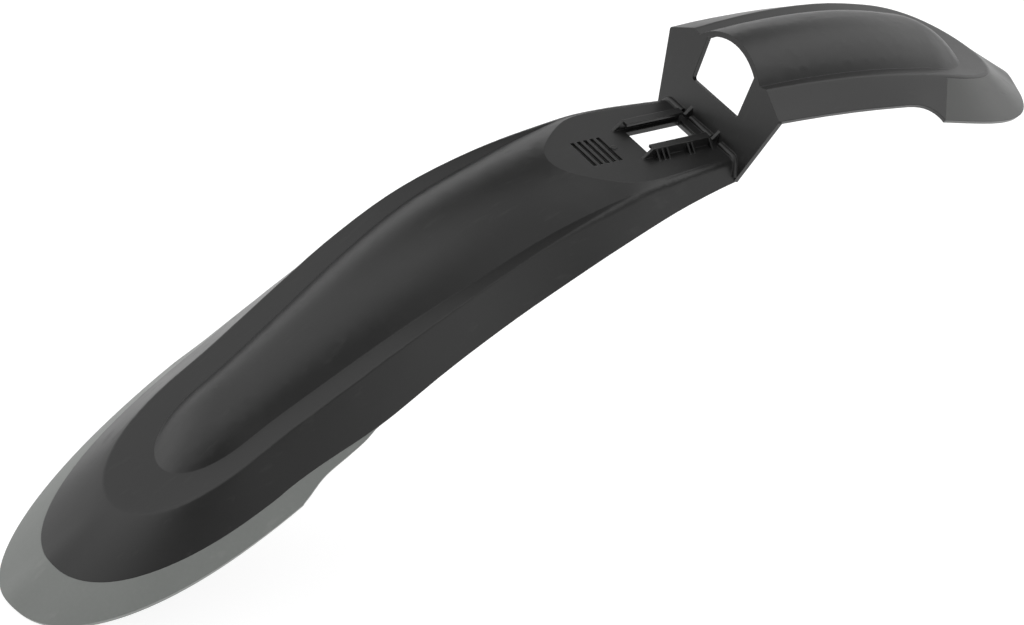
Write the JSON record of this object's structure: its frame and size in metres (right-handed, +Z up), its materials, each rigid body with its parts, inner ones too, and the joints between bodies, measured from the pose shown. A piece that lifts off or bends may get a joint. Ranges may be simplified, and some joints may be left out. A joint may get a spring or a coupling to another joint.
{
  "type": "bicycle mudguard",
  "caption": "Front mudguard for a suspension fork: curved rear blade and raised front blade joined by a windowed step plate, with soft grey edges and a clip seat.",
  "frame": {"origin": "middle of the clip slot, on the platform's top face", "axes": "+X forward along the bicycle, +Y to its left, +Z up along the fork's steerer"},
  "size_m": [0.497, 0.1158, 0.2098],
  "materials": {
    "black_plastic": "satin black moulded plastic with a fine grain",
    "grey_edge": "matt grey soft plastic moulded onto the shell",
    "dark_grey_edge": "matt dark grey soft plastic moulded onto the shell"
  },
  "bodies": {
    "root": {"blade_shell": "black_plastic", "rear_soft_edge": "grey_edge", "front_soft_tip": "dark_grey_edge"}
  },
  "joints": []
}
